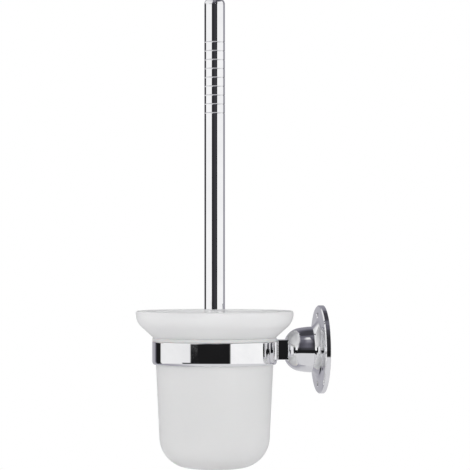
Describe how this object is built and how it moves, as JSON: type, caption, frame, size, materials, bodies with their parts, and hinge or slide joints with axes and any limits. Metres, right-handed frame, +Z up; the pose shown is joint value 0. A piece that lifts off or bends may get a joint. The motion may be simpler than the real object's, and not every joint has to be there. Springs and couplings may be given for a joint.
{
  "type": "toilet brush holder",
  "caption": "Wall-mounted toilet brush holder: chromed bell bracket and ring, frosted glass cup with a flared rim, and a brush with a grooved chromed tube handle.",
  "frame": {"origin": "centre of the wall flange's back face, on the axis of the arm", "axes": "+Y into the wall, +Z up along the brush handle, +X to the right seen from the room"},
  "size_m": [0.1184, 0.142, 0.3527],
  "materials": {
    "chrome": "polished",
    "steel": "satin",
    "brass": "satin",
    "frosted_glass": "matte",
    "seat_plastic": "satin",
    "white_plastic": "satin",
    "bristle": "matte",
    "seal_rubber": "matte"
  },
  "bodies": {
    "holder": {"wall_flange": "chrome", "bell_cover": "chrome", "arm_stem": "chrome", "centre_bolt": "steel", "bolt_washer": "steel", "saddle_plate": "chrome", "holder_ring": "chrome", "ring_screws": "steel", "ring_seat": "seat_plastic"},
    "cup": {"glass_cup": "frosted_glass"},
    "brush_head": {"brush_core": "white_plastic", "thread_insert": "brass", "tuft_row_1": "bristle", "tuft_row_2": "bristle", "tuft_row_3": "bristle", "tuft_row_4": "bristle", "tuft_row_5": "bristle", "tuft_row_6": "bristle", "tuft_row_7": "bristle", "tuft_row_8": "bristle", "end_tufts": "bristle"},
    "seal": {"seal_washer": "seal_rubber"},
    "handle": {"handle_tube": "chrome", "handle_cap": "chrome", "end_plug": "steel", "thread_stud": "steel"}
  },
  "joints": [
    {"name": "cup_lift", "type": "slide", "parent": "holder", "child": "cup", "axis": [0, 0, 1], "range_m": [0, 0.11]},
    {"name": "brush_lift", "type": "slide", "parent": "cup", "child": "brush_head", "axis": [0, 0, 1], "range_m": [0, 0.13]},
    {"name": "handle_rise", "type": "slide", "parent": "brush_head", "child": "seal", "axis": [0, 0, 1], "range_m": [0, 0.01]},
    {"name": "handle_turn", "type": "hinge", "parent": "seal", "child": "handle", "pos_m": [0, -0.0828, 0], "axis": [0, 0, 1], "range_deg": [0, 2880]}
  ],
  "couplings": [
    {"joint": "handle_rise", "follows": "handle_turn", "m_per_rad": 0.00019894}
  ]
}
